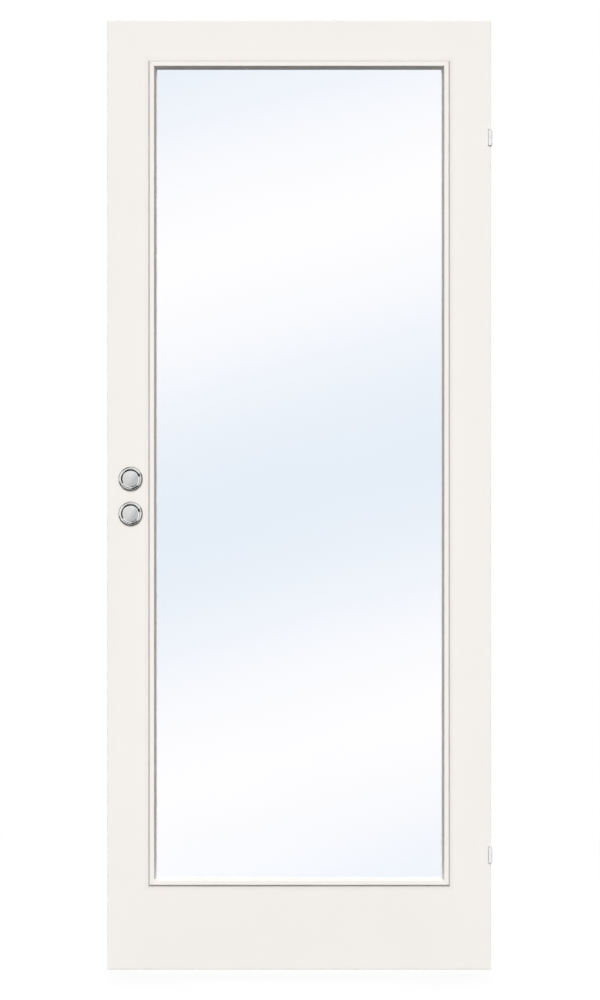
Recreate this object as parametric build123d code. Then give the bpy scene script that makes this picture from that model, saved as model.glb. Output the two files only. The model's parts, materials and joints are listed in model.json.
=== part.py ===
from build123d import *
import os

# Painted interior door leaf with one full-height pane, hung on two lift-off hinges.
# Millimetres. X runs from the lock edge to the hinge edge, Y from the front to the back, Z up.
# The origin is on the jamb face of the lower hinge, level with the middle of its barrel.

# Leaf
LEAF_WIDTH = 825.0
LEAF_HEIGHT = 2040.0
LEAF_THICKNESS = 40.0
FACING = 4.0
ARRIS = 1.0

# Glazed opening, measured from the leaf edges to the outside of the beads
TOP_MARGIN = 85.0
BOTTOM_MARGIN = 178.8

# Glazing bead: a splayed lip laps the facing, the sloping reveal runs down to the seal
BEAD_LAP = 8.0
BEAD_PROUD = 5.6
BEAD_EDGE = 0.8
BEAD_SPLAY = 3.6
BEAD_FLAT = 8.8
BEAD_REVEAL = 4.8
BEAD_ROUND = 0.6
BEAD_NOSE = 1.2
BEAD_FIT = 0.3

# Pane and glazing seal
GLASS = 4.0
GLASS_EDGE = 3.0
SEAL = 1.0
SEAL_SHOWS = 1.2

# Escutcheons: a turned ring with a domed blank pressed into it
BACKSET = 50.0
HANDLE_HEIGHT = 1055.0
HANDLE_TO_KEY = 75.0
RING_RADIUS = 26.0
RING_WALL = 5.6
RING_SIDE = 2.2
RING_ROUND = 2.8
RING_FALL = 0.3
RING_EASE = 0.4
RING_BASE = 1.5
RING_TO_BEAD = 12.0
SPIGOT_RADIUS = 10.0
SPIGOT_LENGTH = 6.0
SPIGOT_FIT = 0.3
BLANK_FIT = 0.15
BLANK_FLOOR = 1.2
BLANK_DOME = 0.9
BLANK_RIM = 2.8
BLANK_COVE = 3.9

# Lock in the lock edge
FOREND_WIDTH = 20.0
FOREND_LENGTH = 180.0
FOREND = 2.5
FOREND_SCREW_INSET = 11.0
LOCK_BODY = 14.0
LOCK_BODY_LENGTH = 136.0
LOCK_BODY_BEHIND = 14.0
LOCK_FIT = 0.5
BOLT_WIDTH = 10.0
BOLT_DEPTH = 24.0
BOLT_ROUND = 1.2
BOLT_FIT = 0.3
LATCH_LENGTH = 32.0
LATCH_ABOVE_HANDLE = 8.0
DEAD_BOLT_LENGTH = 28.0
DEAD_BOLT_ABOVE_KEY = 20.0

# Hinges: flat plates with rolled knuckles, the jamb half carries the pin.
# The barrel lies in a notch that is cut through the front facing at the hinge edge.
LOWER_HINGE_HEIGHT = 246.0
UPPER_HINGE_DROP = 251.0
BARREL_RADIUS = 4.0
BARREL_LENGTH = 34.0
BARREL_ROUND = 0.6
NOTCH_GAP = 1.2
KNUCKLE_CLEARANCE = 0.4
HINGE_PLATE = 2.0
PLATE_CLEARANCE = 0.6
PLATE_LENGTH = 34.0
PLATE_DEPTH = 28.0
PLATE_SETBACK = 7.0
PLATE_CORNER = 5.0
PLATE_FIT = 0.2
PIN_RADIUS = 2.2
PIN_SEAT = 13.5
PIN_REACH = 12.0
PIN_TIP = 0.8
PIN_FIT = 0.03
PIN_RUN = 0.1
COLLAR_RADIUS = 3.3
COLLAR_CLEARANCE = 0.1

# Countersunk screw holes, shared by the hinge plates and the forend
SCREW_RADIUS = 2.2
SINK_DEPTH = 1.2
SCREW_ACROSS = 14.0
SCREW_ALONG = 20.0

# Positions that follow from the sizes above
JAMB_GAP = HINGE_PLATE + PLATE_CLEARANCE
HINGE_EDGE = -JAMB_GAP
LOCK_EDGE = HINGE_EDGE - LEAF_WIDTH
LEAF_BOTTOM = -LOWER_HINGE_HEIGHT
LEAF_TOP = LEAF_BOTTOM + LEAF_HEIGHT
FACE = LEAF_THICKNESS / 2
CORE = LEAF_THICKNESS - 2 * FACING
HINGE_LEVELS = {"lower": 0.0, "upper": LEAF_TOP - UPPER_HINGE_DROP}

SIDE_MARGIN = BACKSET + RING_RADIUS + RING_TO_BEAD
BEAD_X = (LOCK_EDGE + SIDE_MARGIN, HINGE_EDGE - SIDE_MARGIN)
BEAD_Z = (LEAF_BOTTOM + BOTTOM_MARGIN, LEAF_TOP - TOP_MARGIN)
BEAD_WIDTH = BEAD_SPLAY + BEAD_FLAT + BEAD_REVEAL
BEAD_TOE = GLASS / 2 + SEAL


def inset(limits, amount):
    """Limits moved towards each other by an amount."""
    return (limits[0] + amount, limits[1] - amount)


OPENING_X = inset(BEAD_X, BEAD_LAP)
OPENING_Z = inset(BEAD_Z, BEAD_LAP)
PANE_X = inset(OPENING_X, GLASS_EDGE)
PANE_Z = inset(OPENING_Z, GLASS_EDGE)
SIGHT_X = inset(BEAD_X, BEAD_WIDTH + SEAL_SHOWS)
SIGHT_Z = inset(BEAD_Z, BEAD_WIDTH + SEAL_SHOWS)

SPINDLE_X = LOCK_EDGE + BACKSET
HANDLE_Z = LEAF_BOTTOM + HANDLE_HEIGHT
KEY_Z = HANDLE_Z - HANDLE_TO_KEY
LOCK_Z = (HANDLE_Z + KEY_Z) / 2
LATCH_Z = HANDLE_Z + LATCH_ABOVE_HANDLE
DEAD_BOLT_Z = KEY_Z + DEAD_BOLT_ABOVE_KEY
FURNITURE_LEVELS = {"handle": HANDLE_Z, "key": KEY_Z}

NOTCH_Y = FACING - FACE
PIVOT_X = -BARREL_RADIUS
PIVOT_Y = NOTCH_Y - NOTCH_GAP - BARREL_RADIUS
PLATE_Y = (PLATE_SETBACK - FACE, PLATE_SETBACK - FACE + PLATE_DEPTH)
SCREW_Y = (PLATE_Y[0] + PLATE_Y[1]) / 2


def block(x, y, z):
    """A box given by its limits along each axis."""
    low = (min(x), min(y), min(z))
    high = (max(x), max(y), max(z))
    size = [b - a for a, b in zip(low, high)]
    middle = [(a + b) / 2 for a, b in zip(low, high)]
    return Pos(*middle) * Box(*size)


def around(middle, length):
    """Limits of a length centred on a place."""
    return (middle - length / 2, middle + length / 2)


def rounded_plate(x, y, z, corner):
    """A flat plate square to X with its four corners rounded."""
    return fillet(block(x, y, z).edges().filter_by(Axis.X), corner)


def screw_hole(point, into):
    """A countersunk hole through a hinge plate, entered from the countersunk side."""
    start = Plane(origin=point, z_dir=(into, 0, 0))
    shank = Cylinder(SCREW_RADIUS, HINGE_PLATE + FOREND, align=(Align.CENTER, Align.CENTER, Align.MIN))
    sink = Cone(
        SCREW_RADIUS + SINK_DEPTH,
        SCREW_RADIUS,
        SINK_DEPTH,
        align=(Align.CENTER, Align.CENTER, Align.MIN),
    )
    return start * (shank + sink)


def opening():
    """The cut-out for the glazing through the whole leaf."""
    return block(OPENING_X, (-LEAF_THICKNESS, LEAF_THICKNESS), OPENING_Z)


def forend_outline(grow, depth):
    """The round-ended forend, or its recess when grown by a fit."""
    edge = Plane(origin=(LOCK_EDGE, 0, LOCK_Z), x_dir=(0, 0, 1), z_dir=(1, 0, 0))
    outline = edge * SlotOverall(FOREND_LENGTH + 2 * grow, FOREND_WIDTH + 2 * grow)
    return extrude(outline, depth, dir=(1, 0, 0))


def lock_body_limits(grow):
    """Limits of the lock body behind the forend, or of its pocket when grown."""
    x = (LOCK_EDGE + FOREND, SPINDLE_X + LOCK_BODY_BEHIND + grow)
    y = around(0, LOCK_BODY + 2 * grow)
    z = around(LOCK_Z, LOCK_BODY_LENGTH + 2 * grow)
    return x, y, z


def bolt_limits(level, length, grow):
    """Limits of a bolt, or of the hole it slides in when grown."""
    x = (LOCK_EDGE - grow, LOCK_EDGE + BOLT_DEPTH)
    y = around(0, BOLT_WIDTH + 2 * grow)
    z = around(level, length + 2 * grow)
    return x, y, z


def hinge_mortise(level):
    """The recess in the hinge edge for a leaf plate and its neck."""
    x = (HINGE_EDGE - HINGE_PLATE, HINGE_EDGE + HINGE_PLATE)
    y = (PLATE_Y[0] - PLATE_FIT, PLATE_Y[1] + PLATE_FIT)
    z = around(level, PLATE_LENGTH + 2 * PLATE_FIT)
    neck_z = (level + KNUCKLE_CLEARANCE / 2 - PLATE_FIT, level + BARREL_LENGTH / 2 + PLATE_FIT)
    neck = block(x, (-LEAF_THICKNESS, PLATE_Y[0] + PLATE_CORNER), neck_z)
    return rounded_plate(x, y, z, PLATE_CORNER + PLATE_FIT) + neck


def barrel_notch(level):
    """The notch in the front facing that clears a hinge barrel on all sides."""
    x = (PIVOT_X - BARREL_RADIUS - NOTCH_GAP, 0)
    return block(x, (-LEAF_THICKNESS, NOTCH_Y), around(level, BARREL_LENGTH + 2 * NOTCH_GAP))


def spigot_bore(level):
    """The bore through the leaf behind an escutcheon."""
    axis = Plane(origin=(SPINDLE_X, 0, level), z_dir=(0, 1, 0))
    return axis * Cylinder(SPIGOT_RADIUS + SPIGOT_FIT, 2 * LEAF_THICKNESS)


def leaf_cuts():
    """Everything that is cut out of the stiles, rails and facings."""
    cuts = [opening(), forend_outline(PLATE_FIT, FOREND), block(*lock_body_limits(LOCK_FIT))]
    cuts += [hinge_mortise(level) for level in HINGE_LEVELS.values()]
    cuts += [barrel_notch(level) for level in HINGE_LEVELS.values()]
    cuts += [spigot_bore(level) for level in FURNITURE_LEVELS.values()]
    return cuts


def facing(side):
    """One face sheet with eased outer edges. Side is -1 at the front and 1 at the back."""
    sheet = block((LOCK_EDGE, HINGE_EDGE), (side * CORE / 2, side * FACE), (LEAF_BOTTOM, LEAF_TOP))
    outer = sheet.faces().sort_by(Axis.Y)[0 if side < 0 else -1]
    return fillet(outer.edges(), ARRIS)


def stile(x):
    """An upright member of the leaf's inner frame."""
    return block(x, (-CORE / 2, CORE / 2), (LEAF_BOTTOM, LEAF_TOP))


def rail(z):
    """A member of the leaf's inner frame between the stiles."""
    return block(OPENING_X, (-CORE / 2, CORE / 2), z)


def bead_section():
    """The bead in section: X runs in towards the pane, Y out from the middle of the leaf."""
    top = FACE + BEAD_PROUD
    nose = BEAD_SPLAY + BEAD_FLAT
    stem = BEAD_LAP + BEAD_FIT
    corners = [
        (0, FACE),
        (0, FACE + BEAD_EDGE),
        (BEAD_SPLAY, top),
        (nose, top),
        (BEAD_WIDTH, BEAD_TOE),
        (stem, BEAD_TOE),
        (stem, FACE),
    ]
    with BuildSketch() as section:
        with BuildLine():
            Polyline(*corners, close=True)
        make_face()
        fillet(section.vertices().sort_by_distance((BEAD_SPLAY, top))[0], BEAD_ROUND)
        fillet(section.vertices().sort_by_distance((nose, top))[0], BEAD_NOSE)
    return section.sketch


def bead(inward, middle, length, side):
    """A length of bead along one side of the opening, mitred at both ends."""
    inward = Vector(*inward)
    along = inward.cross(Vector(0, side, 0))
    middle = Vector(*middle)
    place = Plane(origin=middle, x_dir=inward, z_dir=along)
    piece = extrude(place * bead_section(), length / 2, dir=along, both=True)
    for end in (-1, 1):
        corner = middle + along * (end * length / 2)
        mitre = Plane(origin=corner, z_dir=along * end + inward)
        piece = split(piece, bisect_by=mitre, keep=Keep.BOTTOM)
    return piece


def beads(side):
    """The four beads on one face of the leaf."""
    middle_x = sum(BEAD_X) / 2
    middle_z = sum(BEAD_Z) / 2
    width = BEAD_X[1] - BEAD_X[0]
    height = BEAD_Z[1] - BEAD_Z[0]
    return {
        "bead_top": bead((0, 0, -1), (middle_x, 0, BEAD_Z[1]), width, side),
        "bead_bottom": bead((0, 0, 1), (middle_x, 0, BEAD_Z[0]), width, side),
        "bead_lock_side": bead((1, 0, 0), (BEAD_X[0], 0, middle_z), height, side),
        "bead_hinge_side": bead((-1, 0, 0), (BEAD_X[1], 0, middle_z), height, side),
    }


def glazing_seal(side):
    """The seal between the pane and the beads, showing as a thin line inside them."""
    y = (side * GLASS / 2, side * BEAD_TOE)
    through = (-LEAF_THICKNESS, LEAF_THICKNESS)
    return block(PANE_X, y, PANE_Z) - block(SIGHT_X, through, SIGHT_Z)


def turned(draw):
    """A solid of revolution about Z from a section drawn with radius in X and height in Z."""
    with BuildPart() as part:
        with BuildSketch(Plane.XZ):
            with BuildLine():
                draw()
            make_face()
        revolve(axis=Axis.Z)
    return part.part


def ring_section():
    """Escutcheon: spigot, base, rounded shoulder, a band that falls inwards and the bore for the blank."""
    inner = RING_RADIUS - RING_WALL
    shoulder = RING_RADIUS - RING_ROUND
    height = RING_SIDE + RING_ROUND
    lip = height - RING_FALL
    TangentArc((RING_RADIUS, RING_SIDE), (shoulder, height), tangent=(0, 1))
    TangentArc((shoulder, height), (inner + RING_EASE, lip), tangent=(-1, 0))
    Polyline(
        (inner + RING_EASE, lip),
        (inner, lip - RING_EASE),
        (inner, RING_BASE),
        (0, RING_BASE),
        (0, -SPIGOT_LENGTH),
        (SPIGOT_RADIUS, -SPIGOT_LENGTH),
        (SPIGOT_RADIUS, 0),
        (RING_RADIUS, 0),
        (RING_RADIUS, RING_SIDE),
    )


def blank_section():
    """Blank: a gentle dome and a cove that sweeps up to a thin rim inside the ring."""
    rim = RING_RADIUS - RING_WALL - BLANK_FIT
    floor = rim - BLANK_COVE
    top = BLANK_FLOOR + BLANK_DOME
    TangentArc((0, top), (floor, BLANK_FLOOR), tangent=(1, 0))
    TangentArc((floor, BLANK_FLOOR), (rim, BLANK_RIM), tangent=(1, 0))
    Polyline((rim, BLANK_RIM), (rim, 0), (0, 0), (0, top))


def furniture(level, side):
    """The ring and blank of one escutcheon on one face."""
    face = Plane(origin=(SPINDLE_X, side * FACE, level), z_dir=(0, side, 0))
    seat = face.offset(RING_BASE)
    return face * turned(ring_section), seat * turned(blank_section)


def forend():
    """The lock's face plate, flush in the lock edge, with holes for the bolts and its screws."""
    plate = forend_outline(0, FOREND)
    plate -= block(*bolt_limits(LATCH_Z, LATCH_LENGTH, BOLT_FIT))
    plate -= block(*bolt_limits(DEAD_BOLT_Z, DEAD_BOLT_LENGTH, BOLT_FIT))
    for z in inset(around(LOCK_Z, FOREND_LENGTH), FOREND_SCREW_INSET):
        plate -= screw_hole((LOCK_EDGE, 0, z), 1)
    return plate


def lock_body():
    """The closed lock body, with the two pockets that the bolts slide in."""
    body = block(*lock_body_limits(0))
    body -= block(*bolt_limits(LATCH_Z, LATCH_LENGTH, BOLT_FIT))
    body -= block(*bolt_limits(DEAD_BOLT_Z, DEAD_BOLT_LENGTH, BOLT_FIT))
    return body


def lock_bolt(level, length):
    """A bolt drawn back flush with the forend, its outer edges rounded."""
    bolt = block(*bolt_limits(level, length, 0))
    return fillet(bolt.faces().sort_by(Axis.X)[0].edges(), BOLT_ROUND)


def knuckle(level, low, high):
    """A hinge knuckle between two heights measured from the middle of the barrel."""
    axis = Plane(origin=(PIVOT_X, PIVOT_Y, level + low), z_dir=(0, 0, 1))
    barrel = Cylinder(BARREL_RADIUS, high - low, align=(Align.CENTER, Align.CENTER, Align.MIN))
    ends = barrel.edges().filter_by(GeomType.CIRCLE).sort_by(Axis.Z)
    return axis * fillet(ends[-1] if low > 0 else ends[0], BARREL_ROUND)


def pin_bore(level, low, high, radius):
    """The hole for the pin between two heights measured from the middle of the barrel."""
    axis = Plane(origin=(PIVOT_X, PIVOT_Y, level + low), z_dir=(0, 0, 1))
    return axis * Cylinder(radius, high - low, align=(Align.CENTER, Align.CENTER, Align.MIN))


def plate_holes(level, face_x, into):
    """The four countersunk holes of a hinge plate."""
    return [
        screw_hole((face_x, y, z), into)
        for y in around(SCREW_Y, SCREW_ACROSS)
        for z in around(level, SCREW_ALONG)
    ]


def hinge_half(level, x, low, high, bore, visible_x, into):
    """A plate, its neck and its knuckle, with the pin hole and the screw holes."""
    half = rounded_plate(x, PLATE_Y, around(level, PLATE_LENGTH), PLATE_CORNER)
    half += block(x, (PIVOT_Y, PLATE_Y[0] + PLATE_CORNER), (level + low, level + high))
    half += knuckle(level, low, high)
    half -= bore
    for hole in plate_holes(level, visible_x, into):
        half -= hole
    return half


def leaf_half(level):
    """The hinge half let into the edge of the leaf. Its socket hangs on the pin."""
    low = KNUCKLE_CLEARANCE / 2
    x = (HINGE_EDGE - HINGE_PLATE, HINGE_EDGE)
    bore = pin_bore(level, 0, PIN_REACH + PIN_TIP, PIN_RADIUS + PIN_RUN)
    return hinge_half(level, x, low, BARREL_LENGTH / 2, bore, HINGE_EDGE, -1)


def jamb_half(level):
    """The hinge half that is screwed to the jamb and holds the pin."""
    high = -KNUCKLE_CLEARANCE / 2
    x = (-HINGE_PLATE, 0)
    bore = pin_bore(level, -PIN_SEAT, 0, PIN_RADIUS + PIN_FIT)
    return hinge_half(level, x, -BARREL_LENGTH / 2, high, bore, -HINGE_PLATE, 1)


def hinge_pin(level):
    """The pin, with the collar that bears the leaf half and a chamfered tip."""
    base = Plane(origin=(PIVOT_X, PIVOT_Y, level), z_dir=(0, 0, 1))
    shank = Cylinder(PIN_RADIUS, PIN_SEAT + PIN_REACH, align=(Align.CENTER, Align.CENTER, Align.MIN))
    tip = shank.edges().filter_by(GeomType.CIRCLE).sort_by(Axis.Z)[-1]
    shank = Pos(0, 0, -PIN_SEAT) * chamfer(tip, PIN_TIP)
    thickness = KNUCKLE_CLEARANCE - COLLAR_CLEARANCE
    collar = Pos(0, 0, -KNUCKLE_CLEARANCE / 2) * Cylinder(
        COLLAR_RADIUS, thickness, align=(Align.CENTER, Align.CENTER, Align.MIN)
    )
    return base * (shank + collar)


nodes = {}

members = {
    "lock_stile": stile((LOCK_EDGE, OPENING_X[0])),
    "hinge_stile": stile((OPENING_X[1], HINGE_EDGE)),
    "top_rail": rail((OPENING_Z[1], LEAF_TOP)),
    "bottom_rail": rail((LEAF_BOTTOM, OPENING_Z[0])),
    "front_facing": facing(-1),
    "back_facing": facing(1),
}
cuts = leaf_cuts()
for name, member in members.items():
    for cut in cuts:
        member = member - cut
    nodes[name] = member

nodes["pane"] = block(PANE_X, (-GLASS / 2, GLASS / 2), PANE_Z)

for face_name, side in (("front", -1), ("back", 1)):
    nodes[face_name + "_seal"] = glazing_seal(side)
    for name, piece in beads(side).items():
        nodes[face_name + "_" + name] = piece
    for name, level in FURNITURE_LEVELS.items():
        ring, blank = furniture(level, side)
        nodes[face_name + "_" + name + "_ring"] = ring
        nodes[face_name + "_" + name + "_blank"] = blank

nodes["lock_forend"] = forend()
nodes["lock_body"] = lock_body()
nodes["latch_bolt"] = lock_bolt(LATCH_Z, LATCH_LENGTH)
nodes["dead_bolt"] = lock_bolt(DEAD_BOLT_Z, DEAD_BOLT_LENGTH)

for name, level in HINGE_LEVELS.items():
    nodes[name + "_hinge_leaf_half"] = leaf_half(level)
    nodes[name + "_hinge_jamb_half"] = jamb_half(level)
    nodes[name + "_hinge_pin"] = hinge_pin(level)

os.makedirs("parts", exist_ok=True)
for name, shape in nodes.items():
    solids = shape.solids()
    export_step(solids[0] if len(solids) == 1 else Compound(children=solids), "parts/" + name + ".step")
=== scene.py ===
import json
import math

import bmesh
import bpy
from mathutils import Matrix, Vector


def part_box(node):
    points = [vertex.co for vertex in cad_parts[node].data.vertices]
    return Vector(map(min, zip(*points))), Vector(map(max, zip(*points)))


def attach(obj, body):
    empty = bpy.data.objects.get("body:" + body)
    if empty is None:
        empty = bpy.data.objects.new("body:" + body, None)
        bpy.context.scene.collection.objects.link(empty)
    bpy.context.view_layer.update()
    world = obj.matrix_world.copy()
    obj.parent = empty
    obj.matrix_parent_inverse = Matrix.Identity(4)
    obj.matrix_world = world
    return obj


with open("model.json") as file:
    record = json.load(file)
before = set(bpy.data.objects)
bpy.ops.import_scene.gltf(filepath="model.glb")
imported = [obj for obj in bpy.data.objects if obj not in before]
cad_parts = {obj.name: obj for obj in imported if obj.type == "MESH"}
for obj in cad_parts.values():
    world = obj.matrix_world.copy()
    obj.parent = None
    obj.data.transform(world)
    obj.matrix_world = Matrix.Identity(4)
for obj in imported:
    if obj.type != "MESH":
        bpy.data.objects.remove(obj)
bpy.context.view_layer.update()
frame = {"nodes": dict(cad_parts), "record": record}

# Metres and degrees, unless a name says otherwise. X runs from the lock edge to the hinge edge, Y from
# the front to the back, and Z up. Colours are linear. A pair of numbers is the least and the greatest
# value, or where a change begins and where it ends. A tone is a factor on a colour, and the larger a
# scale is, the finer is its noise.

# Camera: a straight front view through a long lens
PHOTO_HEIGHT_PX = 1000.0
PHOTO_CENTRE_PX = (300.0, 500.0)
LEAF_HEIGHT_PX = 948.5
LEAF_CENTRE_PX = (299.2, 495.1)
LENS_MM = 175.0
SENSOR_MM = 36.0
CLIP_END = 200.0

# Light: a broad soft lamp in front, another behind, and an ambient light that is stronger from above
LAMP_DISTANCE = 4.0
LAMP_ELEVATION = 30.0
LAMP_SPREAD = 40.0
FRONT_LEVEL = 0.925
BACK_LEVEL = 0.945
AMBIENT_TOP = 0.255
AMBIENT_BOTTOM = 0.14

# Floor, a hair below the leaf. It glows where it is seen, and fades to plain white far from the leaf
FLOOR_SIZE = 9.0
FLOOR_DROP = 0.0002
FLOOR_GREY = 0.20
FLOOR_TONE = 0.98
FLOOR_TONE_SCALE = 3.0
FLOOR_GLOW = 0.80
FLOOR_FADE = (2.2, 4.2)

# Dark cards around the set. Only reflections show them: clearly in the metal, faintly in the paint's
# sheen, and not in the pane. Their places are from the middle of the front handle's escutcheon
CARD_RISE = 0.0001
CARD_FADE = 0.8
CARD_BLACK = 0.02
LOW_CARD_REACH = 3.4
SIDE_CARD_REACH = 6.5
RIGHT_CARD_OFF = 2.2
RIGHT_CARD_TOP = 1.7
LEFT_CARD_OFF = 1.7
LEFT_CARD_TOP = -0.34
EDGE_CARD_TOP = 1.5
EDGE_CARD_REACH = 0.9

# Two more stand in front and lean to the left: height of the middle, half the width, half the length
STREAK_CARD_OFF = 2.0
STREAK_CARD_LEAN = 31.0
STREAK_CARDS = {"card_streak": (0.60, 0.30, 0.64), "card_streak_high": (1.42, 0.50, 0.50)}

# Paints: colour, least and greatest roughness, and the depth of the orange-peel skin
LEAF_PAINT = ((0.896, 0.863, 0.823), 0.50, 0.60, 0.00010)
BEAD_PAINT = ((0.913, 0.879, 0.838), 0.70, 0.80, 0.00006)
HINGE_LACQUER = ((0.905, 0.905, 0.905), 0.28, 0.38, 0.00004)
PAINT_TONE = (0.985, 1.01)
PAINT_TONE_SCALE = 7.0
PAINT_SKIN_SCALE = 420.0
PAINT_SHEEN_SCALE = 60.0
PAINT_BUMP = 0.35
PAINT_SPECULAR = 0.35

# Painted shade on the beads' sloping lip, from its edge inwards, and the hairline of their mitres
LIP_SHADE_EDGE = (-0.0038, -0.0034)
LIP_SHADE_TONE = 0.72
MITRE_LINE = (0.0001, 0.0004)
MITRE_TONE = 0.5

# A faint shade on the leaf beside the beads
SHADE_WIDTH = 0.010
SHADE_TONE = 0.915

# Glazing seal
SEAL_WHITE = (0.90, 0.90, 0.89)
SEAL_TONE = (0.94, 1.0)
SEAL_TONE_SCALE = 90.0
SEAL_ROUGHNESS = (0.55, 0.70)
SEAL_SKIN_SCALE = 1500.0
SEAL_SKIN_DEPTH = 0.0001
SEAL_BUMP = 0.3

# Plated metals: colour, least and greatest roughness, how metallic, and the stretch and scale of the
# fine marks
PIN_STEEL = ((0.60, 0.60, 0.60), 0.15, 0.30, 1.0, (1.0, 1.0, 8.0), 900.0)
LOCK_NICKEL = ((0.66, 0.64, 0.61), 0.36, 0.52, 0.35, (1.0, 1.0, 0.03), 1800.0)
SCREW_ZINC = ((0.68, 0.68, 0.69), 0.30, 0.45, 0.35, (1.0, 1.0, 1.0), 700.0)
METAL_TONE = (0.96, 1.02)
METAL_CLOUD_SCALE = 140.0
METAL_MARK_DEPTH = 0.00002
METAL_BUMP = 0.25

# Turned metal of the escutcheons: colour, least and greatest roughness, and how metallic. The blank's
# satin floor ends where its polished cove begins, and the ring's outer edge is darker metal: painted
# shade
POLISHED = ((0.86, 0.86, 0.85), 0.03, 0.08, 1.0)
SATIN = ((0.78, 0.78, 0.78), 0.40, 0.52, 0.35)
EDGE_SHADE_METAL = ((0.32, 0.32, 0.32), 0.20, 0.30, 1.0)
SATIN_RADIUS = (0.0158, 0.0166)
EDGE_SHADE_RADIUS = (0.0249, 0.0253)
INNER_TONE = (0.97, 1.02)
OUTER_TONE = (0.98, 1.01)
TURNED_RING_SCALE = 2600.0
TURNED_RING_DEPTH = 0.000004
TURNED_CLOUD_SCALE = 160.0
TURNED_BUMP = 0.2

# Painted shade: the satin floor is darker towards the lower right
SHADED_SIDE = (0.87, 0.0, -0.5)
SHADED_SIDE_EDGE = (-0.002, 0.008)
SHADED_SIDE_TONE = 0.76

# Pane: bands of painted reflection, a faint tint, cross it, rising to the right
GLASS_CLEAR = (0.996, 0.991, 1.0)
GLASS_BLUE = (0.886, 0.924, 0.968)
GLASS_IOR = 1.5
BAND_PERIOD = 1.13
BAND_RISE = 0.28
BAND_WHITE_HEIGHT = 0.527
BAND_RIPPLE = 0.05
BAND_RIPPLE_SCALE = 2.5

# Countersunk screws in the leaf's own fittings
SCREW_HEAD_RADIUS = 0.0032
SCREW_HEAD_DEPTH = 0.0012
SCREW_SUNK = 0.00015
SCREW_SHANK_RADIUS = 0.0019
SCREW_SHANK_DEPTH = 0.0018
SCREW_SIDES = 32
SCREW_TWIST_START = 12.0
SCREW_TWIST_STEP = 37.0
RECESS_REACH = 0.0019
RECESS_WIDTH = 0.0008
RECESS_DEPTH = 0.0010
RECESS_TAPER = 0.6
FOREND_SCREW_INSET = 0.011
MM_A_METRE = 1000


class Nodes:
    """A node tree being built, with short calls to add and link nodes."""

    def __init__(self, tree):
        self.tree = tree
        tree.nodes.clear()

    def add(self, kind, inputs=None, **settings):
        made = self.tree.nodes.new(kind)
        for name, value in settings.items():
            setattr(made, name, value)
        for name, value in (inputs or {}).items():
            self.put(made.inputs[name], value)
        return made

    def put(self, socket, value):
        """Links a socket or a node's first output, or sets a plain value."""
        if isinstance(value, bpy.types.NodeSocket):
            self.tree.links.new(value, socket)
        elif isinstance(value, bpy.types.Node):
            self.tree.links.new(value.outputs[0], socket)
        else:
            socket.default_value = value

    def math(self, operation, *values):
        made = self.add("ShaderNodeMath", operation=operation)
        for socket, value in zip(made.inputs, values):
            self.put(socket, value)
        return made.outputs[0]

    def vector_math(self, operation, first, second):
        return self.add("ShaderNodeVectorMath", {0: first, 1: second}, operation=operation)

    def ramp(self, value, low, high, start=0.0, end=1.0):
        """Low where the value is start or less, high where it is end or more, and even between them."""
        inputs = {"Value": value, "From Min": start, "From Max": end, "To Min": low, "To Max": high}
        return self.add("ShaderNodeMapRange", inputs).outputs[0]

    # A Mix node has sockets for each kind of data: 2 and 3 take numbers, 6 and 7 take colours

    def mix_number(self, factor, first, second):
        """First at factor 0 and second at factor 1, both varying over the surface."""
        return self.add("ShaderNodeMix", {0: factor, 2: first, 3: second}, data_type="FLOAT").outputs[0]

    def mix_colour(self, factor, first, second):
        return self.add("ShaderNodeMix", {0: factor, 6: first, 7: second}, data_type="RGBA").outputs[2]

    def mix_shader(self, factor, first, second):
        return self.add("ShaderNodeMixShader", {0: factor, 1: first, 2: second})


def rgba(colour, level=1.0):
    return tuple(level * c for c in colour) + (1.0,)


def grey(level):
    return (level, level, level, 1.0)


def material(name):
    """A new material with an empty tree."""
    made = bpy.data.materials.new(name)
    made.use_nodes = True
    return made, Nodes(made.node_tree)


def surface(nodes, shader):
    nodes.add("ShaderNodeOutputMaterial", {"Surface": shader})


def object_place(nodes):
    return nodes.add("ShaderNodeTexCoord").outputs["Object"]


def noise(nodes, where, scale, detail=2.0, roughness=0.5):
    return nodes.add(
        "ShaderNodeTexNoise",
        {"Vector": where, "Scale": scale, "Detail": detail, "Roughness": roughness},
    ).outputs["Fac"]


def bumps(nodes, height, strength, depth):
    return nodes.add("ShaderNodeBump", {"Height": height, "Strength": strength, "Distance": depth})


def toned(nodes, factor, colour, tones):
    """A colour that varies with the factor between its two tones."""
    return nodes.mix_colour(factor, rgba(colour, tones[0]), rgba(colour, tones[1]))


def past_beads(nodes, where):
    """How far a point lies past the beads' outer edges, across and up. Inside them it is below 0."""
    low_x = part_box("front_bead_lock_side")[0][0]
    high_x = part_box("front_bead_hinge_side")[1][0]
    low_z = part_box("front_bead_bottom")[0][2]
    high_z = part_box("front_bead_top")[1][2]
    parts = nodes.add("ShaderNodeSeparateXYZ", {0: where})
    off_x = nodes.math("ABSOLUTE", nodes.math("SUBTRACT", parts.outputs["X"], (low_x + high_x) / 2))
    off_z = nodes.math("ABSOLUTE", nodes.math("SUBTRACT", parts.outputs["Z"], (low_z + high_z) / 2))
    past_x = nodes.math("SUBTRACT", off_x, (high_x - low_x) / 2)
    past_z = nodes.math("SUBTRACT", off_z, (high_z - low_z) / 2)
    return past_x, past_z


def bead_marks(nodes, where):
    """Masks of the painted shade on the beads' sloping outer lip and of the hairline at their mitres,
    with their tones.
    """
    past_x, past_z = past_beads(nodes, where)
    lip_shade = nodes.ramp(nodes.math("MAXIMUM", past_x, past_z), 0.0, 1.0, *LIP_SHADE_EDGE)
    off_mitre = nodes.math("ABSOLUTE", nodes.math("SUBTRACT", past_x, past_z))
    return [(lip_shade, LIP_SHADE_TONE), (nodes.ramp(off_mitre, 1.0, 0.0, *MITRE_LINE), MITRE_TONE)]


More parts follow.
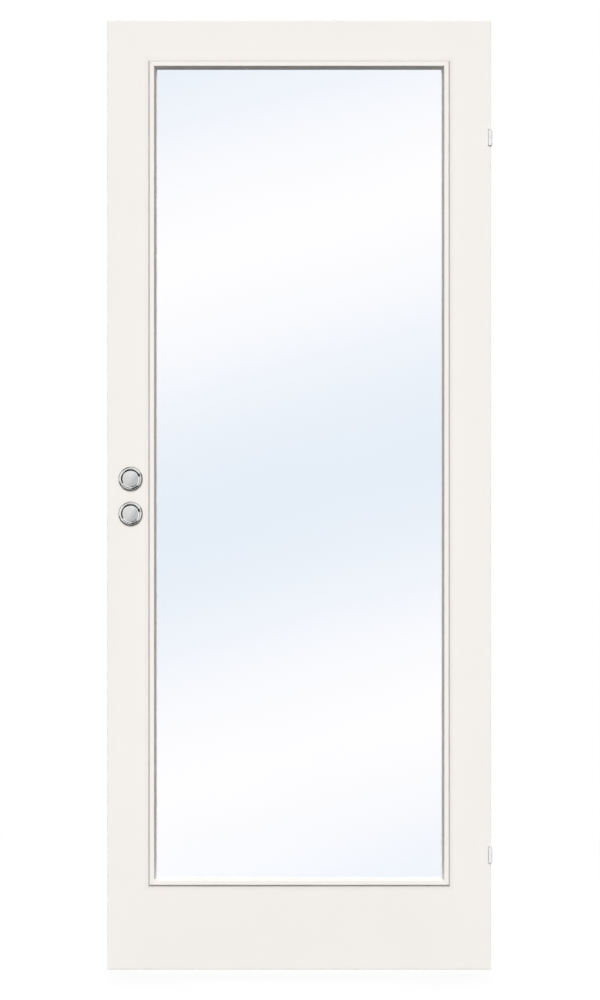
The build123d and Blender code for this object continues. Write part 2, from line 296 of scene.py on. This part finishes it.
def leaf_marks(nodes, where):
    """The mask of the faint shade on the leaf beside the beads, with its tone."""
    past = nodes.math("MAXIMUM", *past_beads(nodes, where))
    return [(nodes.ramp(past, 1.0, 0.0, 0.0, SHADE_WIDTH), SHADE_TONE)]


def paint(name, colour, sheen_low, sheen_high, peel_depth, marks=None):
    """Sprayed satin paint: a fine orange-peel skin and a barely uneven tone and sheen."""
    made, nodes = material(name)
    where = object_place(nodes)
    tone = noise(nodes, where, PAINT_TONE_SCALE, detail=3.0)
    skin = noise(nodes, where, PAINT_SKIN_SCALE, roughness=0.45)
    sheen = noise(nodes, where, PAINT_SHEEN_SCALE)
    coat = toned(nodes, tone, colour, PAINT_TONE)
    # Marks that darken the coat: painted shade on the bead lip and beside the beads, and the mitres'
    # hairline
    for mask, mark_tone in marks(nodes, where) if marks else []:
        coat = nodes.mix_colour(mask, coat, rgba(colour, mark_tone))
    surface(nodes, nodes.add(
        "ShaderNodeBsdfPrincipled",
        {
            "Base Color": coat,
            "Roughness": nodes.ramp(sheen, sheen_low, sheen_high),
            "Normal": bumps(nodes, skin, PAINT_BUMP, peel_depth),
            "Specular IOR Level": PAINT_SPECULAR,
        },
    ))
    return made


def rubber(name, colour):
    """Matt extruded seal with a powdery, slightly uneven skin."""
    made, nodes = material(name)
    where = object_place(nodes)
    tone = noise(nodes, where, SEAL_TONE_SCALE, detail=3.0)
    skin = noise(nodes, where, SEAL_SKIN_SCALE)
    surface(nodes, nodes.add(
        "ShaderNodeBsdfPrincipled",
        {
            "Base Color": toned(nodes, tone, colour, SEAL_TONE),
            "Roughness": nodes.ramp(tone, *SEAL_ROUGHNESS),
            "Normal": bumps(nodes, skin, SEAL_BUMP, SEAL_SKIN_DEPTH),
        },
    ))
    return made


def metal(name, colour, rough_low, rough_high, metallic, stretch, scale):
    """Plated metal with fine marks, drawn out or drawn together by the stretch."""
    made, nodes = material(name)
    where = object_place(nodes)
    drawn = nodes.vector_math("MULTIPLY", where, stretch)
    marks = noise(nodes, drawn, scale, detail=3.0, roughness=0.6)
    cloud = noise(nodes, where, METAL_CLOUD_SCALE)
    surface(nodes, nodes.add(
        "ShaderNodeBsdfPrincipled",
        {
            "Base Color": toned(nodes, cloud, colour, METAL_TONE),
            "Metallic": metallic,
            "Roughness": nodes.ramp(marks, rough_low, rough_high),
            "Normal": bumps(nodes, marks, METAL_BUMP, METAL_MARK_DEPTH),
        },
    ))
    return made


def turned_metal(name, centre, inner, outer, border, shaded_side=1.0):
    """Metal with the faint rings that turning leaves. Two finishes meet at a round border.

    The inner finish has painted shade towards the lower right, which darkens it to the tone of the last
    argument."""
    inner_colour, *inner_rough, inner_metal = inner
    outer_colour, *outer_rough, outer_metal = outer
    made, nodes = material(name)
    where = object_place(nodes)
    off = nodes.vector_math("SUBTRACT", where, centre)
    parts = nodes.add("ShaderNodeSeparateXYZ", {0: off})
    radius = nodes.math("SQRT", nodes.math(
        "ADD",
        nodes.math("POWER", parts.outputs["X"], 2.0),
        nodes.math("POWER", parts.outputs["Z"], 2.0),
    ))
    outside = nodes.ramp(radius, 0.0, 1.0, *border)
    outward = nodes.add("ShaderNodeCombineXYZ", {"X": radius})
    rings = noise(nodes, outward, TURNED_RING_SCALE, detail=3.0, roughness=0.6)
    cloud = noise(nodes, where, TURNED_CLOUD_SCALE, detail=3.0)
    inside_colour = toned(nodes, cloud, inner_colour, INNER_TONE)
    # Painted shade towards the lower right of the inner finish
    if shaded_side != 1.0:
        aside = nodes.vector_math("DOT_PRODUCT", off, SHADED_SIDE).outputs["Value"]
        side_shade = nodes.ramp(aside, 0.0, 1.0, *SHADED_SIDE_EDGE)
        inside_colour = nodes.mix_colour(side_shade, inside_colour, rgba(inner_colour, shaded_side))
    outside_colour = toned(nodes, cloud, outer_colour, OUTER_TONE)
    inside_rough = nodes.ramp(rings, *inner_rough)
    outside_rough = nodes.ramp(cloud, *outer_rough)
    metallic = inner_metal
    if inner_metal != outer_metal:
        metallic = nodes.ramp(outside, inner_metal, outer_metal)
    surface(nodes, nodes.add(
        "ShaderNodeBsdfPrincipled",
        {
            "Base Color": nodes.mix_colour(outside, inside_colour, outside_colour),
            "Metallic": metallic,
            "Roughness": nodes.mix_number(outside, inside_rough, outside_rough),
            "Normal": bumps(nodes, rings, TURNED_BUMP, TURNED_RING_DEPTH),
        },
    ))
    return made


def glass(name):
    """Thin clear pane: clean reflections, and painted reflections as a faint tint in soft slanting
    bands.
    """
    made, nodes = material(name)
    where = object_place(nodes)
    parts = nodes.add("ShaderNodeSeparateXYZ", {0: where})
    middle = centre_of("pane")
    across = nodes.math("SUBTRACT", parts.outputs["X"], middle.x)
    up = nodes.math("SUBTRACT", parts.outputs["Z"], middle.z + BAND_WHITE_HEIGHT)
    along = nodes.math("SUBTRACT", up, nodes.math("MULTIPLY", across, BAND_RISE))
    wave = nodes.math("COSINE", nodes.math("MULTIPLY", along, 2 * math.pi / BAND_PERIOD))
    ripple = nodes.ramp(noise(nodes, where, BAND_RIPPLE_SCALE), -BAND_RIPPLE, BAND_RIPPLE)
    white = nodes.math("ADD", nodes.math("MULTIPLY_ADD", wave, 0.5, 0.5), ripple)
    reflection_tint = nodes.mix_colour(white, rgba(GLASS_BLUE), rgba(GLASS_CLEAR))
    clear = nodes.add("ShaderNodeBsdfTransparent", {"Color": reflection_tint})
    gloss = nodes.add("ShaderNodeBsdfGlossy", {"Color": grey(1.0), "Roughness": 0.0})
    leaving = nodes.add("ShaderNodeNewGeometry").outputs["Backfacing"]
    mirror = nodes.add("ShaderNodeFresnel", {"IOR": nodes.ramp(leaving, GLASS_IOR, 1 / GLASS_IOR)})
    surface(nodes, nodes.mix_shader(mirror, clear, gloss))
    return made


def seen_rays(nodes):
    """1 for rays that show the background: straight, mirrored or through glass."""
    path = nodes.add("ShaderNodeLightPath")
    mirrored = nodes.math("MAXIMUM", path.outputs["Is Camera Ray"], path.outputs["Is Glossy Ray"])
    return nodes.math("MAXIMUM", mirrored, path.outputs["Is Transmission Ray"])


def floor_material(middle):
    """Matt floor with the leaf's shadow. For the rays that show it, it is white far from the middle."""
    made, nodes = material("floor_white")
    where = object_place(nodes)
    tone = noise(nodes, where, FLOOR_TONE_SCALE)
    colour = nodes.mix_colour(tone, grey(FLOOR_TONE * FLOOR_GREY), grey(FLOOR_GREY))
    matt = nodes.add("ShaderNodeBsdfDiffuse", {"Color": colour})
    seen = seen_rays(nodes)
    glow = nodes.add("ShaderNodeEmission", {"Strength": nodes.math("MULTIPLY", seen, FLOOR_GLOW)})
    near = nodes.add("ShaderNodeAddShader", {0: matt, 1: glow})
    white = nodes.add("ShaderNodeEmission", {"Strength": 1.0})
    away = nodes.vector_math("DISTANCE", where, middle).outputs["Value"]
    far = nodes.ramp(away, 0.0, 1.0, *FLOOR_FADE)
    surface(nodes, nodes.mix_shader(nodes.math("MULTIPLY", far, seen), near, white))
    return made


def card_material():
    """Black that fades at the edges. The pane, a perfect mirror unlike the metal, doesn't show it."""
    made, nodes = material("card_black")
    parts = nodes.add("ShaderNodeSeparateXYZ", {0: object_place(nodes)})
    reach = nodes.math(
        "MAXIMUM",
        nodes.math("ABSOLUTE", parts.outputs["X"]),
        nodes.math("ABSOLUTE", parts.outputs["Y"]),
    )
    faded = nodes.ramp(reach, 0.0, 1.0, CARD_FADE, 1.0)
    from_pane = nodes.add("ShaderNodeLightPath").outputs["Is Singular Ray"]
    unseen = nodes.math("MAXIMUM", faded, from_pane)
    dark = nodes.add("ShaderNodeBsdfDiffuse", {"Color": grey(CARD_BLACK)})
    clear = nodes.add("ShaderNodeBsdfTransparent", {"Color": grey(1.0)})
    surface(nodes, nodes.mix_shader(unseen, dark, clear))
    return made


def dress(node, made):
    """Puts one material on a CAD node in place of its own."""
    mesh = frame["nodes"][node].data
    mesh.materials.clear()
    mesh.materials.append(made)


def centre_of(node):
    low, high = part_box(node)
    return Vector([(a + b) / 2 for a, b in zip(low, high)])


def loop(made, points):
    """A closed loop of new vertices, with its edges."""
    corners = [made.verts.new(point) for point in points]
    edges = [made.edges.new(pair) for pair in zip(corners, corners[1:] + corners[:1])]
    return corners, edges


def band(made, first, second):
    """Faces between two loops of as many vertices."""
    for a, b, c, d in zip(first, first[1:] + first[:1], second[1:] + second[:1], second):
        made.faces.new((a, b, c, d))


def circle(radius, height):
    turns = [2 * math.pi / SCREW_SIDES * k for k in range(SCREW_SIDES)]
    return [(radius * math.cos(turn), radius * math.sin(turn), height) for turn in turns]


def cross(reach, width, height):
    """The corners of a plus sign, quarter by quarter."""
    half = width / 2
    quarter_points = ((half, reach), (half, half), (reach, half))
    corners = []
    for quarter in range(4):
        turn = Matrix.Rotation(-quarter * math.pi / 2, 4, "Z")
        corners += [turn @ Vector((x, y, height)) for x, y in quarter_points]
    return corners


def screw(made, place):
    """A countersunk screw with a cross recess, its axis along local Z and its head at the top."""
    start = len(made.verts)
    rim, rim_edges = loop(made, circle(SCREW_HEAD_RADIUS, 0.0))
    neck, _ = loop(made, circle(SCREW_SHANK_RADIUS, -SCREW_HEAD_DEPTH))
    end, _ = loop(made, circle(SCREW_SHANK_RADIUS, -SCREW_SHANK_DEPTH))
    mouth, mouth_edges = loop(made, cross(RECESS_REACH, RECESS_WIDTH, 0.0))
    bottom_points = cross(RECESS_REACH * RECESS_TAPER, RECESS_WIDTH * RECESS_TAPER, -RECESS_DEPTH)
    bottom, bottom_edges = loop(made, bottom_points)
    bmesh.ops.triangle_fill(made, use_beauty=True, edges=rim_edges + mouth_edges)
    bmesh.ops.triangle_fill(made, use_beauty=True, edges=bottom_edges)
    band(made, rim, neck)
    band(made, neck, end)
    band(made, mouth, bottom)
    made.faces.new(end)
    made.verts.ensure_lookup_table()
    for corner in made.verts[start:]:
        corner.co = place @ corner.co


def screws(name, heads, outward, finish):
    """One piece that holds the screws of a fitting. Heads are the middles of its holes on the face."""
    made = bmesh.new()
    turn = Vector((0, 0, 1)).rotation_difference(outward).to_matrix().to_4x4()
    for number, head in enumerate(heads):
        twist_angle = math.radians(SCREW_TWIST_STEP * number + SCREW_TWIST_START)
        twist = Matrix.Rotation(twist_angle, 4, "Z")
        screw(made, Matrix.Translation(head - outward * SCREW_SUNK) @ turn @ twist)
    bmesh.ops.recalc_face_normals(made, faces=made.faces)
    mesh = bpy.data.meshes.new(name)
    made.to_mesh(mesh)
    made.free()
    mesh.materials.append(finish)
    piece = bpy.data.objects.new(name, mesh)
    bpy.context.scene.collection.objects.link(piece)
    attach(piece, "leaf")


def hinge_screw_heads(mount, edge_x):
    """The leaf plate's holes face those of the jamb plate, across the edge of the leaf."""
    reach_y = mount["dims"]["spacing_x_mm"] / MM_A_METRE / 2
    reach_z = mount["dims"]["spacing_y_mm"] / MM_A_METRE / 2
    _, y, z = mount["pos_m"]
    return [Vector((edge_x, y + a * reach_y, z + b * reach_z)) for a in (-1, 1) for b in (-1, 1)]


def card(name, middle, along, up, finish):
    """A card that only reflections show. Along and up run from its middle to its edges."""
    mesh = bpy.data.meshes.new(name)
    mesh.from_pydata([(-1, -1, 0), (1, -1, 0), (1, 1, 0), (-1, 1, 0)], [], [(0, 1, 2, 3)])
    mesh.materials.append(finish)
    made = bpy.data.objects.new(name, mesh)
    facing = along.cross(up).normalized()
    made.matrix_world = Matrix.Translation(middle) @ Matrix((along, up, facing)).transposed().to_4x4()
    made.visible_camera = False
    made.visible_diffuse = False
    made.visible_transmission = False
    made.visible_shadow = False
    bpy.context.scene.collection.objects.link(made)


def lamp(name, side, level, aim):
    """A soft lamp in front (side -1) or behind (side 1). At level 1 it fully lights what faces it."""
    slope = math.radians(LAMP_ELEVATION)
    towards = Vector((0, side * math.cos(slope), math.sin(slope)))
    light = bpy.data.lights.new(name, "SUN")
    light.energy = math.pi * level
    light.angle = math.radians(LAMP_SPREAD)
    made = bpy.data.objects.new(name, light)
    made.visible_glossy = False
    made.rotation_euler = (-towards).to_track_quat("-Z", "Y").to_euler()
    made.location = aim + LAMP_DISTANCE * towards
    bpy.context.scene.collection.objects.link(made)


# Finishes of the CAD nodes
shared = {
    "_seal": rubber("white_seal", SEAL_WHITE),
    "_half": paint("hinge_lacquer", *HINGE_LACQUER),
    "_pin": metal("pin_steel", *PIN_STEEL),
}
leaf_paint = paint("leaf_paint", *LEAF_PAINT, marks=leaf_marks)
bead_paint = paint("bead_paint", *BEAD_PAINT, marks=bead_marks)
lock_nickel = metal("lock_nickel", *LOCK_NICKEL)
screw_zinc = metal("screw_zinc", *SCREW_ZINC)

for name in frame["nodes"]:
    ending = next((e for e in shared if name.endswith(e)), None)
    if ending:
        dress(name, shared[ending])
    elif name == "pane":
        dress(name, glass("pane_glass"))
    elif "_bead_" in name:
        dress(name, bead_paint)
    elif name.endswith("_ring"):
        # The ring's darker outer edge is painted shade
        dress(name, turned_metal(name + "_chrome", centre_of(name), POLISHED, EDGE_SHADE_METAL, EDGE_SHADE_RADIUS))
    elif name.endswith("_blank"):
        dress(name, turned_metal(
            name + "_chrome", centre_of(name), SATIN, POLISHED, SATIN_RADIUS, shaded_side=SHADED_SIDE_TONE
        ))
    elif name in ("lock_forend", "latch_bolt", "dead_bolt", "lock_body"):
        dress(name, lock_nickel)
    else:
        dress(name, leaf_paint)

# Screws of the hinges' leaf plates and of the forend
hinge_edge_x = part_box("hinge_stile")[1][0]
for mount in frame["record"]["mounts"]:
    if mount["kind"] == "bolt_pattern":
        level = mount["name"].split("_")[0]
        heads = hinge_screw_heads(mount, hinge_edge_x)
        screws(level + "_hinge_leaf_screws", heads, Vector((1, 0, 0)), screw_zinc)

forend_low, forend_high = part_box("lock_forend")
forend_y = (forend_low[1] + forend_high[1]) / 2
forend_heads = [
    Vector((forend_low[0], forend_y, z))
    for z in (forend_low[2] + FOREND_SCREW_INSET, forend_high[2] - FOREND_SCREW_INSET)
]
screws("forend_screws", forend_heads, Vector((-1, 0, 0)), screw_zinc)

# Floor
leaf_low, leaf_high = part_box("front_facing")
leaf_middle = (Vector(leaf_low) + Vector(leaf_high)) / 2
floor_z = leaf_low[2] - FLOOR_DROP
half = FLOOR_SIZE / 2
corners = [(-half, -half), (half, -half), (half, half), (-half, half)]
floor_mesh = bpy.data.meshes.new("floor")
floor_mesh.from_pydata([(leaf_middle.x + x, y, floor_z) for x, y in corners], [], [(0, 1, 2, 3)])
floor_mesh.materials.append(floor_material((leaf_middle.x, 0, floor_z)))
floor = bpy.data.objects.new("floor", floor_mesh)
bpy.context.scene.collection.objects.link(floor)

# Dark cards: one on the floor, a long and a short upright one on each side, and one overhead
card_black = card_material()
handle = centre_of("front_handle_ring")
card(
    "card_low",
    Vector((handle.x, 0, floor_z + CARD_RISE)),
    Vector((LOW_CARD_REACH, 0, 0)),
    Vector((0, LOW_CARD_REACH, 0)),
    card_black,
)
for name, off, top, reach in (
    ("card_right", RIGHT_CARD_OFF, RIGHT_CARD_TOP, SIDE_CARD_REACH),
    ("card_left", -LEFT_CARD_OFF, LEFT_CARD_TOP, SIDE_CARD_REACH),
    ("card_right_edge", RIGHT_CARD_OFF, EDGE_CARD_TOP, EDGE_CARD_REACH),
    ("card_left_edge", -LEFT_CARD_OFF, EDGE_CARD_TOP, EDGE_CARD_REACH),
):
    card(
        name,
        Vector((handle.x + off, 0, floor_z)),
        Vector((0, reach, 0)),
        Vector((0, 0, handle.z + top - floor_z)),
        card_black,
    )
card(
    "card_top_edge",
    Vector((handle.x, 0, handle.z + EDGE_CARD_TOP)),
    Vector((RIGHT_CARD_OFF, 0, 0)),
    Vector((0, EDGE_CARD_REACH, 0)),
    card_black,
)

# Two cards in front, whose mirror images are the short streaks low on each escutcheon
lean = Matrix.Rotation(math.radians(-STREAK_CARD_LEAN), 3, "Y")
for name, (rise, half_width, half_length) in STREAK_CARDS.items():
    card(
        name,
        handle + lean @ Vector((0, -STREAK_CARD_OFF, rise)),
        lean @ Vector((half_width, 0, 0)),
        lean @ Vector((0, 0, half_length)),
        card_black,
    )

# World: white where it shows, and the soft ambient light for everything else
world = bpy.data.worlds.new("studio")
world.use_nodes = True
bpy.context.scene.world = world
sky = Nodes(world.node_tree)
direction = sky.add("ShaderNodeTexCoord").outputs["Generated"]
height = sky.add("ShaderNodeSeparateXYZ", {0: direction}).outputs["Z"]
ambient = sky.ramp(height, AMBIENT_BOTTOM, AMBIENT_TOP, -1.0, 1.0)
soft = sky.add("ShaderNodeBackground", {"Color": grey(1.0), "Strength": ambient})
white = sky.add("ShaderNodeBackground", {"Color": grey(1.0), "Strength": 1.0})
sky.add("ShaderNodeOutputWorld", {"Surface": sky.mix_shader(seen_rays(sky), soft, white)})

lamp("front_lamp", -1, FRONT_LEVEL, leaf_middle)
lamp("back_lamp", 1, BACK_LEVEL, leaf_middle)

# Camera
metres_a_pixel = (leaf_high[2] - leaf_low[2]) / LEAF_HEIGHT_PX
distance = PHOTO_HEIGHT_PX * metres_a_pixel * LENS_MM / SENSOR_MM
camera_data = bpy.data.cameras.new("camera")
camera_data.lens = LENS_MM
camera_data.sensor_fit = "VERTICAL"
camera_data.sensor_height = SENSOR_MM
camera_data.clip_end = CLIP_END
camera = bpy.data.objects.new("camera", camera_data)
camera.location = (
    leaf_middle.x + (PHOTO_CENTRE_PX[0] - LEAF_CENTRE_PX[0]) * metres_a_pixel,
    leaf_low[1] - distance,
    leaf_middle.z - (PHOTO_CENTRE_PX[1] - LEAF_CENTRE_PX[1]) * metres_a_pixel,
)
camera.rotation_euler = (math.radians(90), 0, 0)
bpy.context.scene.collection.objects.link(camera)
bpy.context.scene.camera = camera
bpy.context.scene.view_settings.view_transform = "Standard"
